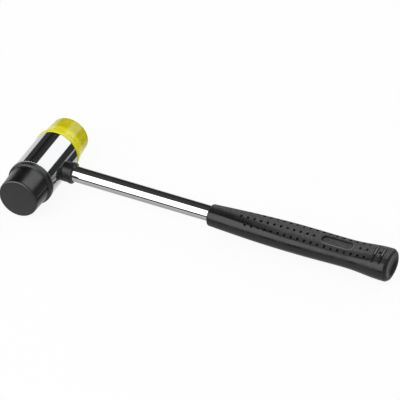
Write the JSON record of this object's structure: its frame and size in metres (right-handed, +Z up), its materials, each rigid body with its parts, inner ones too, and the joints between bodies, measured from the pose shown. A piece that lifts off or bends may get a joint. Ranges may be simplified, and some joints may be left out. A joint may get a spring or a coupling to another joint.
{
  "type": "soft-faced mallet",
  "caption": "Soft-faced mallet with a short steel cylinder head, a rubber tip and a clear plastic tip that unscrew, a straight steel tube handle and a moulded grip.",
  "frame": {"origin": "bottom centre of the tool's box, on the surface that the tool lies on", "axes": "+X along the handle from the head to the butt, +Y along the head from the rubber tip to the plastic tip, +Z up from the surface"},
  "size_m": [0.303, 0.0884, 0.0358],
  "materials": {
    "chromed_head": "polished chrome plate",
    "chromed_tube": "polished chrome plate",
    "collar_plastic": "satin black moulding",
    "grip_vinyl": "soft satin black moulding with fine grain",
    "tip_rubber": "hard black rubber, satin",
    "tip_plastic": "clear yellow, glossy",
    "stud_steel": "turned, zinc plated"
  },
  "bodies": {
    "handle_and_head": {"head_body": "chromed_head", "handle_tube": "chromed_tube", "neck_collar": "collar_plastic", "grip_sleeve": "grip_vinyl"},
    "rubber_stud": {"rubber_tip_stud": "stud_steel"},
    "rubber_end": {"rubber_tip": "tip_rubber"},
    "plastic_stud": {"plastic_tip_stud": "stud_steel"},
    "plastic_end": {"plastic_tip": "tip_plastic"}
  },
  "joints": [
    {"name": "rubber_stud_travel", "type": "slide", "parent": "handle_and_head", "child": "rubber_stud", "axis": [0, -1, 0], "range_m": [0, 0.0091]},
    {"name": "rubber_tip_turn", "type": "hinge", "parent": "rubber_stud", "child": "rubber_end", "pos_m": [-0.13364, -0.0196, 0.0179], "axis": [0, -1, 0], "range_deg": [0, 2160]},
    {"name": "plastic_stud_travel", "type": "slide", "parent": "handle_and_head", "child": "plastic_stud", "axis": [0, 1, 0], "range_m": [0, 0.0091]},
    {"name": "plastic_tip_turn", "type": "hinge", "parent": "plastic_stud", "child": "plastic_end", "pos_m": [-0.13364, 0.0205, 0.0179], "axis": [0, 1, 0], "range_deg": [0, 2160]}
  ],
  "couplings": [
    {"joint": "rubber_stud_travel", "follows": "rubber_tip_turn", "m_per_rad": 0.00023873},
    {"joint": "plastic_stud_travel", "follows": "plastic_tip_turn", "m_per_rad": 0.00023873}
  ]
}
